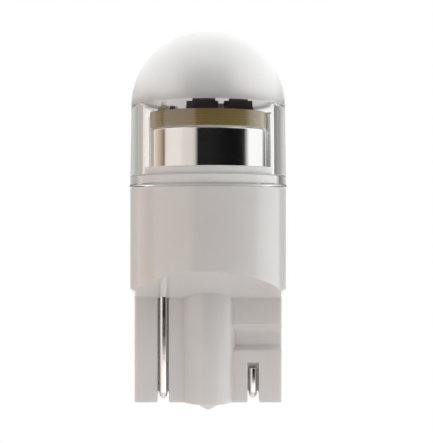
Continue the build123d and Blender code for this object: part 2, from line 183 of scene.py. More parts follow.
# compass directions in degrees from the camera's side, negative to the left, level with the bulb
CARDS = [
    (-180, (0.85, 0.85, 0.83)),
    (-171, (0.70, 0.70, 0.68)),
    (-160, (0.55, 0.54, 0.52)),
    (-148, (0.42, 0.41, 0.39)),
    (-127, (0.45, 0.44, 0.42)),
    (-124, (0.92, 0.78, 0.67)),
    (-108, (0.61, 0.475, 0.35)),
    (-97, (0.36, 0.27, 0.195)),
    (-91.5, (0.19, 0.13, 0.09)),
    (-89, (0.30, 0.23, 0.18)),
    (-86, (0.80, 0.70, 0.68)),
    (-78, CREAM_CARD),
    (-55, (0.84, 0.785, 0.73)),
    (-45, (0.74, 0.68, 0.63)),
    (-30, (0.72, 0.66, 0.61)),
    (-25, (0.62, 0.57, 0.53)),
    (-19, DARK_GAP),
    (10, DARK_GAP),
    (35, DEEP_GAP),
    (66, DEEP_GAP),
    (71, (0.03, 0.03, 0.03)),
    (77.5, (0.60, 0.60, 0.59)),
    (82, WHITE_CARD),
    (126.2, WHITE_CARD),
    (127.7, (0.15, 0.147, 0.142)),
    (143, GREY_WALL),
    (157, (0.55, 0.55, 0.53)),
    (170, (0.85, 0.85, 0.83)),
    (180, (0.85, 0.85, 0.83)),
]
print(len(CARDS), "stops round the cards")

# %% [markdown]
# The rest of the room only has to light the bulb, so it needs fewer colours. The table and the walls
# above the cards each have one colour to each side. The front stays dark above the cards, because the
# middle of the dome is grey in the photograph, and the ceiling gets brighter towards the back.

# %% Colour the table, the walls and the ceiling
TABLE_BELOW = (0.25, 0.25, 0.25)
TABLE_FRONT = (1.36, 1.26, 1.2)
TABLE_LEFT = (0.86, 0.64, 0.54)
TABLE_RIGHT = (1.8, 1.86, 1.88)
TABLE_BACK = (1.1, 1.1, 1.1)
UPPER_FRONT = (0.28, 0.28, 0.28)
LEFT_BOX = (1.36, 1.35, 1.33)
RIGHT_BOX = (1.56, 1.54, 1.53)
BACK_WALL = (1.28, 1.3, 1.27)
CEILING_FRONT = (0.83, 0.83, 0.83)
CEILING_BACK = (1.72, 1.72, 1.72)


def ring(back, left, front, right):
    """Compass stops of one band of the room, from the back over the left and the front to the back."""
    return [
        (-180, back), (-150, back), (-130, left), (-60, left), (-35, front),
        (32, front), (54, right), (130, right), (150, back), (180, back),
    ]


TABLE = ring(TABLE_BACK, TABLE_LEFT, TABLE_FRONT, TABLE_RIGHT)
UPPER_WALLS = ring(BACK_WALL, LEFT_BOX, UPPER_FRONT, RIGHT_BOX)
print(len(TABLE), "stops round the table,", len(UPPER_WALLS), "round the walls")

# %% Paint the room on the world
# elevations in degrees at which one band of the room fades into the next
TABLE_FADE = (-52, -30)
TABLE_EDGE = (-11, -6)
CARD_EDGE = (10, 20)
CEILING_EDGE = (38, 58)

world = bpy.data.worlds.new("studio_room")
world.use_nodes = True
scene.world = world
tree = world.node_tree
tree.nodes.clear()
direction = tree.nodes.new("ShaderNodeSeparateXYZ")
tree.links.new(add_node(tree, "ShaderNodeTexCoord").outputs["Generated"], direction.inputs[0])
x, y, z = direction.outputs
compass = math_node(tree, "ARCTAN2", x, math_node(tree, "MULTIPLY", y, -1.0))
turn = math_node(tree, "MULTIPLY_ADD", compass, 0.5 / pi, 0.5)
height = math_node(tree, "MULTIPLY_ADD", z, 0.5, 0.5)
depth = math_node(tree, "MULTIPLY_ADD", y, 0.5, 0.5)


def by_compass(stops):
    """A ramp round the bulb from stops of (compass direction, colour)."""
    return ramp_node(tree, turn, [(0.5 + angle / 360, colour) for angle, colour in stops])


def above(edge):
    """A mask that rises from 0 to 1 between two elevations."""
    stops = [(0.5 + 0.5 * sin(radians(angle)), level) for level, angle in enumerate(edge)]
    return ramp_node(tree, height, stops)


table = mix_node(tree, above(TABLE_FADE), TABLE_BELOW, by_compass(TABLE))
ceiling = ramp_node(tree, depth, [(0.0, CEILING_FRONT), (1.0, CEILING_BACK)])
room = mix_node(tree, above(TABLE_EDGE), table, by_compass(CARDS))
room = mix_node(tree, above(CARD_EDGE), room, by_compass(UPPER_WALLS))
room = mix_node(tree, above(CEILING_EDGE), room, ceiling)
print("room painted from", TABLE_EDGE[0], "to", CEILING_EDGE[1], "degrees and over the top")

# %% [markdown]
# The world decides two things at once: what stands behind the bulb and what lights it. Light Path keeps
# them apart. A camera ray, or a ray that has met nothing but clear plastic, gets plain white.

# %% Let the camera see plain white behind the bulb
path = add_node(tree, "ShaderNodeLightPath").outputs
bounces = math_node(tree, "ADD", path["Glossy Depth"], path["Diffuse Depth"])
unbounced = math_node(tree, "LESS_THAN", bounces, 0.5)
straight = math_node(tree, "MULTIPLY", path["Is Transmission Ray"], unbounced)
plain = math_node(tree, "MAXIMUM", path["Is Camera Ray"], straight)
background = add_node(tree, "ShaderNodeBackground", Strength=1.0)
tree.links.new(mix_node(tree, plain, room, (1.0, 1.0, 1.0)), background.inputs["Color"])
tree.links.new(background.outputs[0], add_node(tree, "ShaderNodeOutputWorld").inputs[0])
print("world light set")

# %% [markdown]
# ## The floor
#
# The bulb is held in its socket by the blade, so it doesn't rest on a table. The floor is a small pale
# disc a dozen millimetres below it, which throws light up at the blade. It fades out towards its edge and
# glows faintly for the camera alone, so that no line shows between it and the white behind.

# %% Lay the floor below the blade
FLOOR_DROP = 12 * MM
FLOOR_RADIUS = 40 * MM
FADE_START, FADE_END = 0.25, 0.95
FLOOR_COLOUR = (0.75, 0.75, 0.75, 1)
FLOOR_LIFT = 0.3

bpy.ops.object.select_all(action="DESELECT")
bpy.ops.mesh.primitive_circle_add(vertices=96, radius=FLOOR_RADIUS, fill_type="NGON", location=(0, 0, 0))
floor = bpy.context.object
floor.name = "floor"
bpy.ops.object.mode_set(mode="EDIT")
bpy.ops.mesh.select_all(action="SELECT")
bpy.ops.transform.translate(value=(0, 0, packed_box[0].z - FLOOR_DROP))
bpy.ops.object.mode_set(mode="OBJECT")

paper = bpy.data.materials.new("pale_floor")
paper.use_nodes = True
tree = paper.node_tree
surface = tree.nodes["Principled BSDF"]
surface.inputs["Base Color"].default_value = FLOOR_COLOUR
surface.inputs["Roughness"].default_value = 0.9
surface.inputs["Specular IOR Level"].default_value = 0.0
surface.inputs["Emission Color"].default_value = (1, 1, 1, 1)
seen = add_node(tree, "ShaderNodeLightPath").outputs["Is Camera Ray"]
lift = math_node(tree, "MULTIPLY", seen, FLOOR_LIFT)
tree.links.new(lift, surface.inputs["Emission Strength"])
reach = add_node(tree, "ShaderNodeVectorMath", operation="LENGTH")
tree.links.new(add_node(tree, "ShaderNodeTexCoord").outputs["Object"], reach.inputs[0])
share = math_node(tree, "DIVIDE", reach.outputs["Value"], FLOOR_RADIUS)
fade = ramp_node(tree, share, [(FADE_START, 0.0), (FADE_END, 1.0)], smooth=True)
blend = add_node(tree, "ShaderNodeMixShader")
tree.links.new(fade, blend.inputs[0])
tree.links.new(surface.outputs[0], blend.inputs[1])
tree.links.new(add_node(tree, "ShaderNodeBsdfTransparent").outputs[0], blend.inputs[2])
tree.links.new(blend.outputs[0], tree.nodes["Material Output"].inputs["Surface"])
floor.data.materials.append(paper)
print("floor at", round((packed_box[0].z - FLOOR_DROP) / MM, 2), "mm")

# %% [markdown]
# ## Turning pieces from an outline
#
# The window and the barrel are turned shapes. By hand one would add a circle, extrude it along the
# outline ring by ring, and scale each new ring to its radius. A helper does just that for a list of
# rings. The spin tool would do as well, but rings keep each height and radius in plain sight.
#
# A corner is rounded in the outline itself, with one more ring just before and just after the round.
# Those two rings keep the long walls between corners exactly straight in the smooth shading. Without them
# the light on a polished wall bends towards every rounded edge.

# %% Write the helpers that turn an outline
STEPS = 192
MERGE_DISTANCE = 0.0005 * MM
RING_LEAD = 0.6
TURNED_SMOOTH = radians(30)


def start_piece():
    """Nothing selected, so that an operator acts on the new piece alone."""
    if bpy.context.object and bpy.context.object.mode != "OBJECT":
        bpy.ops.object.mode_set(mode="OBJECT")
    bpy.ops.object.select_all(action="DESELECT")


def name_piece(name):
    """Names the newest piece and its mesh, and opens it for editing with everything selected."""
    piece = bpy.context.object
    piece.name = piece.data.name = name
    bpy.ops.object.mode_set(mode="EDIT")
    bpy.ops.mesh.select_mode(type="VERT")
    bpy.ops.mesh.select_all(action="SELECT")
    return piece


def round_corners(corners, steps=4):
    """Rings of an outline from corners of (radius, height, size of the round), where 0 keeps one sharp."""
    rings = []
    for index, (radius, height, size) in enumerate(corners):
        here = Vector((radius, height))
        if not size:
            rings.append(tuple(here))
            continue
        before = Vector(corners[index - 1][:2]) - here
        after = Vector(corners[(index + 1) % len(corners)][:2]) - here
        half = before.angle(after) / 2
        reach = size / tan(half)
        centre = here + (before.normalized() + after.normalized()).normalized() * size / sin(half)
        start = here + before.normalized() * reach - centre
        turn = start.angle_signed(here + after.normalized() * reach - centre)
        rings.append(tuple(here + before.normalized() * (reach + RING_LEAD * size)))
        for step in range(steps + 1):
            angle = -turn * step / steps
            across = start.x * cos(angle) - start.y * sin(angle)
            upwards = start.x * sin(angle) + start.y * cos(angle)
            rings.append(tuple(centre + Vector((across, upwards))))
        rings.append(tuple(here + after.normalized() * (reach + RING_LEAD * size)))
    return rings


def turn_outline(name, rings, closed=True):
    """A turned piece through rings of (radius, height) in metres, with its ends capped if it is open."""
    start_piece()
    bpy.ops.mesh.primitive_circle_add(vertices=STEPS, radius=rings[0][0], location=(0, 0, 0))
    piece = name_piece(name)
    bpy.ops.transform.translate(value=(0, 0, rings[0][1]))
    for (old_radius, old_height), (radius, height) in zip(rings, rings[1:] + rings[:1] * closed):
        bpy.ops.mesh.extrude_region_move()
        share = radius / old_radius
        bpy.ops.transform.resize(value=(share, share, 1), center_override=(0, 0, old_height))
        bpy.ops.transform.translate(value=(0, 0, height - old_height))
    bpy.ops.mesh.select_all(action="SELECT")
    bpy.ops.mesh.remove_doubles(threshold=MERGE_DISTANCE)
    if not closed:
        bpy.ops.mesh.fill_holes(sides=0)
        bpy.ops.mesh.select_all(action="SELECT")
    bpy.ops.mesh.normals_make_consistent(inside=False)
    bpy.ops.object.mode_set(mode="OBJECT")
    bpy.ops.object.shade_smooth_by_angle(angle=TURNED_SMOOTH)
    return piece


def finish_piece(piece, slot, *nodes):
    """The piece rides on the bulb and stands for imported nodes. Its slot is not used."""
    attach(piece, "root")
    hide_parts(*nodes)
    print(piece.name, "with", len(piece.data.polygons), "faces stands for", ", ".join(nodes))


print("turning helpers ready, with", STEPS, "steps round")

# %% [markdown]
# ## The clear window
#
# The window is one clear moulding: a straight wall, a thin skirt that drops over the step of the base, a
# small bead round the skirt's lower edge, and a tongue on top that the dome is welded to. Its wall keeps
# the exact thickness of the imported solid, because that decides where the barrel's sides seem to be
# through it. Where it stands on the base and carries the dome it is welded: it sinks into them by a
# hundredth of a millimetre. A gap of air there would act as a dark mirror inside the clear wall.

# %% Turn the window
sleeve_low, sleeve_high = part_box("clear_sleeve")
dome_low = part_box("diffuser_dome")[0]
BODY_RADIUS = 5.1 * MM
TOP_RADIUS = 5.03 * MM
WINDOW_RADIUS = 4.24 * MM
SKIRT_BORE = 4.62 * MM
TIER_LEDGE = 14.61 * MM
BEAD_HEIGHT = 0.19 * MM
BEAD_PROUD = 0.06 * MM
BEAD_SETBACK = 0.02 * MM
TONGUE_HALF = 0.13 * MM
WELD = 0.01 * MM
BEAD_STEPS = 7
ABOVE_BEAD = 0.03 * MM
RIM_RISE = 0.12 * MM
EDGE_ROUND = 0.03 * MM
BORE_ROUND = 0.05 * MM
HAIR = 0.001 * MM

bead_bottom = sleeve_low.z
tongue_middle = (WINDOW_RADIUS + TOP_RADIUS) / 2


def wall_top(radius):
    """Height of the window's top at a radius. It rises inwards, so that the joint centres the dome."""
    rise = RIM_RISE * (TOP_RADIUS - radius) / (TOP_RADIUS - WINDOW_RADIUS)
    return dome_low.z + WELD + rise


corners = []
for step in range(BEAD_STEPS + 1):
    share = step / BEAD_STEPS
    radius = BODY_RADIUS - BEAD_SETBACK * (1 - share) + BEAD_PROUD * sin(pi * share)
    corners.append((radius, bead_bottom + BEAD_HEIGHT * share, 0))
corners += [
    (BODY_RADIUS - HAIR, bead_bottom + BEAD_HEIGHT + ABOVE_BEAD, 0),
    (TOP_RADIUS, wall_top(TOP_RADIUS), 0),
    (tongue_middle + TONGUE_HALF, wall_top(tongue_middle + TONGUE_HALF), 0),
    (tongue_middle + TONGUE_HALF, sleeve_high.z - WELD, EDGE_ROUND),
    (tongue_middle - TONGUE_HALF, sleeve_high.z - WELD, EDGE_ROUND),
    (tongue_middle - TONGUE_HALF, wall_top(tongue_middle - TONGUE_HALF), 0),
    (WINDOW_RADIUS, wall_top(WINDOW_RADIUS), 0),
    (WINDOW_RADIUS, TIER_LEDGE - WELD, 0),
    (SKIRT_BORE, TIER_LEDGE - WELD, BORE_ROUND),
    (SKIRT_BORE, bead_bottom, EDGE_ROUND),
]
window = turn_outline("clear_window", round_corners(corners))
finish_piece(window, "clear_plastic", "clear_sleeve")

# %% [markdown]
# ## The opal dome
#
# The dome is a hollow half ball of milky plastic. A ball primitive is cut at its equator and given its
# wall by a Solidify modifier. The rim's inner edge is raised to the window's slope, and the groove for
# the window's tongue is pressed into the rim with inset and extrude.

# %% Shape the dome
DOME_WALL = 0.8 * MM
DOME_RINGS = 96
GROOVE_HEIGHT = 0.31 * MM
GROOVE_HALF = 0.14 * MM
DOWNWARDS = -0.9
DOME_SMOOTH = radians(35)

start_piece()
bpy.ops.mesh.primitive_uv_sphere_add(
    segments=STEPS, ring_count=DOME_RINGS, radius=TOP_RADIUS, location=(0, 0, 0)
)
dome = name_piece("opal_dome")
bpy.ops.mesh.bisect(plane_co=(0, 0, 0), plane_no=(0, 0, 1), clear_inner=True)
bpy.ops.mesh.select_all(action="SELECT")
bpy.ops.mesh.remove_doubles(threshold=MERGE_DISTANCE)
bpy.ops.mesh.normals_make_consistent(inside=False)
bpy.ops.transform.translate(value=(0, 0, dome_low.z))
bpy.ops.object.mode_set(mode="OBJECT")
wall = dome.modifiers.new("wall", "SOLIDIFY")
wall.thickness = DOME_WALL
wall.offset = -1
bpy.context.view_layer.objects.active = dome
bpy.ops.object.modifier_apply(modifier=wall.name)
print("dome wall", DOME_WALL / MM, "mm,", len(dome.data.polygons), "faces")

# %% Slope the dome's rim and press its groove
bpy.ops.object.mode_set(mode="EDIT")
bpy.ops.mesh.select_mode(type="VERT")
bpy.ops.mesh.select_all(action="DESELECT")
bpy.ops.object.mode_set(mode="OBJECT")
for vertex in dome.data.vertices:
    inner = Vector(vertex.co[:2]).length < TOP_RADIUS - DOME_WALL / 2
    vertex.select = inner and vertex.co.z < dome_low.z + HAIR
bpy.ops.object.mode_set(mode="EDIT")
bpy.ops.transform.translate(value=(0, 0, RIM_RISE))
bpy.ops.object.mode_set(mode="OBJECT")


def pick_faces(piece, wanted):
    """Opens a piece for editing with only the faces selected for which a test holds."""
    bpy.ops.object.mode_set(mode="EDIT")
    bpy.ops.mesh.select_mode(type="FACE")
    bpy.ops.mesh.select_all(action="DESELECT")
    bpy.ops.object.mode_set(mode="OBJECT")
    for face in piece.data.polygons:
        face.select = wanted(face)
    bpy.ops.object.mode_set(mode="EDIT")


pick_faces(dome, lambda face: face.normal.z < DOWNWARDS and face.center.z < dome_low.z + RIM_RISE)
bpy.ops.mesh.inset(thickness=DOME_WALL / 2 - GROOVE_HALF, depth=0)
bpy.ops.mesh.extrude_region_move()
bpy.ops.transform.translate(value=(0, 0, GROOVE_HEIGHT))
bpy.ops.object.mode_set(mode="OBJECT")
bpy.ops.object.shade_smooth_by_angle(angle=DOME_SMOOTH)
finish_piece(dome, "opal_plastic", "diffuser_dome")

# %% [markdown]
# ## The polished barrel
#
# The heat sink is a plain cup, turned from bar, mouth down, and polished. Its looks are all reflection,
# so the mesh needs many steps round and a true small round at the rim, and hardly anything else.

# %% Turn the barrel
barrel_low, barrel_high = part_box("heat_sink_barrel")
BARREL_RADIUS = barrel_high.x
BARREL_WALL = 0.57 * MM
BARREL_TOP = 0.6 * MM
RIM_ROUND = 0.06 * MM
LIP_ROUND = 0.05 * MM
BORE_END = 0.1 * MM
CAP_RADIUS = 3.0 * MM

bore = BARREL_RADIUS - BARREL_WALL
bore_top = barrel_high.z - BARREL_TOP
profile = [
    (bore - BORE_END, bore_top, 0),
    (bore, bore_top, LIP_ROUND),
    (bore, barrel_low.z, LIP_ROUND),
    (BARREL_RADIUS, barrel_low.z, LIP_ROUND),
    (BARREL_RADIUS, barrel_high.z, RIM_ROUND),
    (CAP_RADIUS, barrel_high.z, 0),
]
barrel = turn_outline("polished_barrel", round_corners(profile, steps=6), closed=False)
finish_piece(barrel, "bright_metal", "heat_sink_barrel")

# %% [markdown]
# ## The bent wires
#
# Both contacts and both feeds are round tinned wire, bent in quarter turns round a pin. A circle is
# extruded along each straight run, and the spin tool carries it round each bend, as the wire goes round
# the pin. A curve with a round bevel would be quicker, but its bends only come near true arcs. In the
# photograph the contact wires nearly fill their grooves, so here they are a twentieth of a millimetre
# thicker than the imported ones.

# %% Write the helper that bends a wire
WIRE_STEPS = 32
BEND_STEPS = 14
END_STEPS = 3
END_ANGLE = radians(60)
WIRE_SMOOTH = radians(40)


def bend_wire(name, points, bend, radius, end_round):
    """A round wire through points in metres, which turns a right angle at every inner point."""
    start_piece()
    bpy.ops.mesh.primitive_circle_add(vertices=WIRE_STEPS, radius=radius, location=(0, 0, 0))
    piece = name_piece(name)
    points = [Vector(point) for point in points]
    ways = [(there - here).normalized() for here, there in zip(points, points[1:])]
    if abs(ways[0].x) > 0.5:
        bpy.ops.transform.rotate(value=pi / 2, orient_axis="Y", center_override=(0, 0, 0))
    bpy.ops.transform.translate(value=points[0])
    place = points[0]
    for index, way in enumerate(ways):
        last = index == len(ways) - 1
        target = points[index + 1] - way * (0 if last else bend)
        bpy.ops.mesh.extrude_region_move()
        bpy.ops.transform.translate(value=target - place)
        if not last:
            after = ways[index + 1]
            pin = target + after * bend
            bpy.ops.mesh.spin(steps=BEND_STEPS, angle=-pi / 2, center=pin, axis=way.cross(after))
            place = points[index + 1] + after * bend
    bpy.ops.mesh.select_all(action="SELECT")
    bpy.ops.mesh.remove_doubles(threshold=MERGE_DISTANCE)
    bpy.ops.mesh.fill_holes(sides=0)
    bpy.ops.mesh.select_all(action="SELECT")
    bpy.ops.mesh.normals_make_consistent(inside=False)
    bpy.ops.object.mode_set(mode="OBJECT")
    ends = piece.modifiers.new("rounded_ends", "BEVEL")
    ends.width = end_round
    ends.segments = END_STEPS
    ends.angle_limit = END_ANGLE
    bpy.context.view_layer.objects.active = piece
    bpy.ops.object.modifier_apply(modifier=ends.name)
    bpy.ops.object.shade_smooth_by_angle(angle=WIRE_SMOOTH)
    return piece


print("wire helper ready, with", BEND_STEPS, "steps in each bend")

# %% Bend the contact wires
CONTACT_RADIUS = 0.25 * MM
CONTACT_BEND = 0.4 * MM
TUCK_LENGTH = 1.4 * MM
END_ROUND = 0.04 * MM

contact_pieces = []
for side in ("front", "back"):
    low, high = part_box("contact_wire_" + side)
    middle = (low.x + high.x) / 2
    outer, tucked = low.y + CONTACT_RADIUS, high.y - CONTACT_RADIUS
    if side == "back":
        outer, tucked = tucked, outer
    under = low.z + CONTACT_RADIUS
    points = [
        (middle, outer, high.z),
        (middle, outer, under),
        (middle, tucked, under),
        (middle, tucked, under + CONTACT_BEND + TUCK_LENGTH),
    ]
    wire = bend_wire("bent_contact_" + side, points, CONTACT_BEND, CONTACT_RADIUS, END_ROUND)
    finish_piece(wire, "tinned_wire", "contact_wire_" + side)
    contact_pieces.append(wire)

# %% Bend the feed wires
FEED_RADIUS = 0.21 * MM
FEED_BEND = 0.45 * MM
FEED_LANDING = 0.95 * MM
FEED_CLEAR = 0.05 * MM
FEED_START = 1.29 * MM

left_low, left_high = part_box("feed_wire_left")
right_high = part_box("feed_wire_right")[1]
board_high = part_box("led_board")[1]
over = board_high.z + FEED_RADIUS + FEED_CLEAR
feed_y = (left_low.y + left_high.y) / 2
rise_x = -left_low.x - FEED_RADIUS
start_x = rise_x - FEED_START
level = left_low.z + FEED_RADIUS
left_points = [
    (-start_x, feed_y, level),
    (-rise_x, feed_y, level),
    (-rise_x, feed_y, over),
    (FEED_LANDING - rise_x, feed_y, over),
    (FEED_LANDING - rise_x, feed_y, left_high.z),
]
right_points = [(start_x, -feed_y, level), (rise_x, -feed_y, level), (rise_x, -feed_y, right_high.z)]
feed_pieces = []
for side, points in (("left", left_points), ("right", right_points)):
    wire = bend_wire("bent_feed_" + side, points, FEED_BEND, FEED_RADIUS, END_ROUND)
    finish_piece(wire, "tinned_wire", "feed_wire_" + side)
    feed_pieces.append(wire)

# %% [markdown]
# ## Shared surface effects
#
# Nothing on the real bulb is one flat colour. A moulded face has faint clouds of tone and a fine satin
# grain, a cast or plated face has dull patches, and every edge has a small round that catches light.
# These effects come back on many pieces, so each is built once as a node group. A group only gives out
# masks, heights and normals. Each material decides what it does with them.

# %% Write the helper that opens a group
def new_group(name, inputs, outputs):
    """An empty shader node group with its interface, and the sockets of its two ends."""
    group = bpy.data.node_groups.new(name, "ShaderNodeTree")
    for title, kind, value in inputs:
        socket = group.interface.new_socket(title, in_out="INPUT", socket_type="NodeSocket" + kind)
        if value is not None:
            socket.default_value = value
    for title, kind in outputs:
        group.interface.new_socket(title, in_out="OUTPUT", socket_type="NodeSocket" + kind)
    return group, group.nodes.new("NodeGroupInput").outputs, group.nodes.new("NodeGroupOutput").inputs


def use_group(tree, group, **sources):
    """A copy of a group in a tree, with its inputs fed or set by name."""
    node = add_node(tree, "ShaderNodeGroup", node_tree=group)
    for name, source in sources.items():
        join(tree, source, node.inputs[name.replace("_", " ")])
    return node.outputs


print("group helpers ready")

# %% Build the grain
# Clouds are soft patches some tenths of a millimetre to a few millimetres wide. Grain is the fine texture
# on top.
grain_group, given, wanted = new_group(
    "surface_grain",
    [("Place", "Vector", None), ("Cloud Size", "Float", 2.0), ("Grain Size", "Float", 0.12)],
    [("Clouds", "Float"), ("Grain", "Float")],
)
for size, detail, title in (("Cloud Size", 3.0, "Clouds"), ("Grain Size", 2.0, "Grain")):
    noise = add_node(grain_group, "ShaderNodeTexNoise", Detail=detail, Roughness=0.55)
    scale = math_node(grain_group, "DIVIDE", 1 / MM, given[size])
    join(grain_group, given["Place"], noise.inputs["Vector"])
    join(grain_group, scale, noise.inputs["Scale"])
    spread = add_node(grain_group, "ShaderNodeMapRange", From_Min=0.3, From_Max=0.7)
    join(grain_group, noise.outputs["Fac"], spread.inputs["Value"])
    join(grain_group, spread.outputs[0], wanted[title])
print("grain group has", len(grain_group.nodes), "nodes")

# %% Build the soft edges
# The Bevel node turns the normal near an edge as a small round would. Where it differs from the true
# normal is the edge itself, which gives a mask for free.
edge_group, given, wanted = new_group(
    "soft_edges", [("Width", "Float", 0.05)], [("Normal", "Vector"), ("Edge", "Float")]
)
bevel = add_node(edge_group, "ShaderNodeBevel", samples=6)
join(edge_group, math_node(edge_group, "MULTIPLY", given["Width"], MM), bevel.inputs["Radius"])
facing = add_node(edge_group, "ShaderNodeVectorMath", operation="DOT_PRODUCT")
join(edge_group, bevel.outputs[0], facing.inputs[0])
join(edge_group, add_node(edge_group, "ShaderNodeNewGeometry").outputs["Normal"], facing.inputs[1])
edge = add_node(edge_group, "ShaderNodeMapRange", From_Min=1.0, From_Max=0.75)
join(edge_group, facing.outputs["Value"], edge.inputs["Value"])
join(edge_group, bevel.outputs[0], wanted["Normal"])
join(edge_group, edge.outputs[0], wanted["Edge"])
print("edge group has", len(edge_group.nodes), "nodes")

# %% Build the laminate
# A circuit board is glass cloth pressed in resin. Its cut edge shows the layers of cloth as thin lighter
# lines, and its faces show the weave faintly through the mask.
LAYER_WOBBLE = 0.12 * MM
STREAK_STRETCH = (0.25, 0.25, 2.5)
LINE_STRENGTH = 1.6
WEAVE_STRENGTH = 0.17

laminate_group, given, wanted = new_group(
    "glass_laminate",
    [
        ("Place", "Vector", None), ("Through", "Float", 0.0),
        ("Layer", "Float", 0.17), ("Thread", "Float", 0.25),
    ],
    [("Layers", "Float"), ("Weave", "Float")],
)
wobble = add_node(laminate_group, "ShaderNodeTexNoise", Scale=0.6 / MM, Detail=2.0)
join(laminate_group, given["Place"], wobble.inputs["Vector"])
shift = math_node(laminate_group, "MULTIPLY", wobble.outputs["Fac"], LAYER_WOBBLE)
through = math_node(laminate_group, "ADD", given["Through"], shift)
layer = math_node(laminate_group, "MULTIPLY", given["Layer"], MM)
phase = math_node(laminate_group, "MULTIPLY", math_node(laminate_group, "DIVIDE", through, layer), 2 * pi)
wave = math_node(laminate_group, "MULTIPLY_ADD", math_node(laminate_group, "SINE", phase), 0.5, 0.5)
streaks = add_node(laminate_group, "ShaderNodeTexNoise", Scale=5 / MM, Detail=2.0)
flat = add_node(laminate_group, "ShaderNodeVectorMath", operation="MULTIPLY")
flat.inputs[1].default_value = STREAK_STRETCH
join(laminate_group, given["Place"], flat.inputs[0])
join(laminate_group, flat.outputs[0], streaks.inputs["Vector"])
sharp = math_node(laminate_group, "POWER", wave, 2.0)
layers = math_node(laminate_group, "MULTIPLY", sharp, streaks.outputs["Fac"])
join(laminate_group, math_node(laminate_group, "MULTIPLY", layers, LINE_STRENGTH), wanted["Layers"])
across = add_node(laminate_group, "ShaderNodeSeparateXYZ")
join(laminate_group, given["Place"], across.inputs[0])
thread = math_node(laminate_group, "MULTIPLY", given["Thread"], MM)
threads = []
for axis in across.outputs:
    turns = math_node(laminate_group, "MULTIPLY", math_node(laminate_group, "DIVIDE", axis, thread), 2 * pi)
    threads.append(math_node(laminate_group, "SINE", turns))
woven = math_node(laminate_group, "ADD", threads[0], threads[1])
woven = math_node(laminate_group, "ADD", woven, threads[2])
join(laminate_group, math_node(laminate_group, "MULTIPLY_ADD", woven, WEAVE_STRENGTH, 0.5), wanted["Weave"])
print("laminate group has", len(laminate_group.nodes), "nodes")

# %% Build the turning marks
# A lathe leaves very fine grooves, level rings on the side of a barrel and circles on its end. Height and
# distance from the axis together drive one stretched noise, so both faces get theirs.
turning_group, given, wanted = new_group(
    "turning_marks", [("Place", "Vector", None), ("Pitch", "Float", 0.04)], [("Marks", "Float")]
)
parts = add_node(turning_group, "ShaderNodeSeparateXYZ")
join(turning_group, given["Place"], parts.inputs[0])
level_part = add_node(turning_group, "ShaderNodeCombineXYZ")
join(turning_group, parts.outputs["X"], level_part.inputs["X"])
join(turning_group, parts.outputs["Y"], level_part.inputs["Y"])
radius_node = add_node(turning_group, "ShaderNodeVectorMath", operation="LENGTH")
join(turning_group, level_part.outputs[0], radius_node.inputs[0])
outline_place = math_node(turning_group, "ADD", radius_node.outputs["Value"], parts.outputs["Z"])
marks = add_node(turning_group, "ShaderNodeTexNoise", noise_dimensions="1D", Detail=3.0)
pitch = math_node(turning_group, "DIVIDE", 1 / MM, given["Pitch"])
join(turning_group, math_node(turning_group, "MULTIPLY", outline_place, pitch), marks.inputs["W"])
marks.inputs["Scale"].default_value = 1.0
join(turning_group, marks.outputs["Fac"], wanted["Marks"])
print("turning group has", len(turning_group.nodes), "nodes")

# %% [markdown]
# ## Helpers for finishes
#
# Each finish is one Principled shader. What stays the same all over the piece is set on the shader's own
# sockets, and what changes over it comes from the groups.

# %% Write the helpers for finishes
def new_finish(name, **values):
    """A material, its tree, its shader with constants set by name, and the object's own coordinates."""
    material = bpy.data.materials.new(name)
    material.use_nodes = True
    shader = material.node_tree.nodes["Principled BSDF"]
    for socket, value in values.items():
        join(material.node_tree, value, shader.inputs[socket.replace("_", " ")])
    place = add_node(material.node_tree, "ShaderNodeTexCoord").outputs["Object"]
    return material, material.node_tree, shader, place


def vary(tree, mask, low, high):
    """A value that runs from one level to another as a mask runs from 0 to 1."""
    node = add_node(tree, "ShaderNodeMapRange", To_Min=low, To_Max=high)
    join(tree, mask, node.inputs["Value"])
    return node.outputs[0]


def bump(tree, shader, height, depth, normal=None):
    """Bumps the shader's normal by a height mask whose full range is a depth in millimetres."""
    node = add_node(tree, "ShaderNodeBump", Strength=1.0, Distance=depth * MM)
    join(tree, height, node.inputs["Height"])
    if normal is not None:
        join(tree, normal, node.inputs["Normal"])
    join(tree, node.outputs[0], shader.inputs["Normal"])


def dress(material, *names):
    """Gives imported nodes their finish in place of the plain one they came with."""
    for name in names:
        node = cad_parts[name]
        node.data.materials.clear()
        node.data.materials.append(material)
    print(material.name, "on", ", ".join(names))


print("finish helpers ready")

# %% [markdown]
# ## Moulded base plastic
#
# The base is injection moulded from heat-proof off-white plastic. Its faces are satin under a thin gloss,
# and light goes a little way in, which softens every shadow. So the shader has some subsurface light, a
# coat, faint clouds of tone, a grain that only moves the roughness and the bump, and soft edges, whose
# tone is mixed paler as a painted highlight. The seat under the window has no gloss, rounder edges and a
# whiter tone than the rest. That whiter tone is painted light, standing in for the light that reaches the
# seat through the clear window. Its height on the base gives the mask.

# %% Finish the base
SEAT_FADE = 0.3 * MM
BODY_EDGE_WIDTH = 0.12
SEAT_EDGE_WIDTH = 0.25
SEAT_PAINTED_LIGHT = (0.97, 0.965, 0.96)
EDGE_HIGHLIGHT_TONE = (0.85, 0.84, 0.82)
EDGE_HIGHLIGHT_SHARE = 0.35

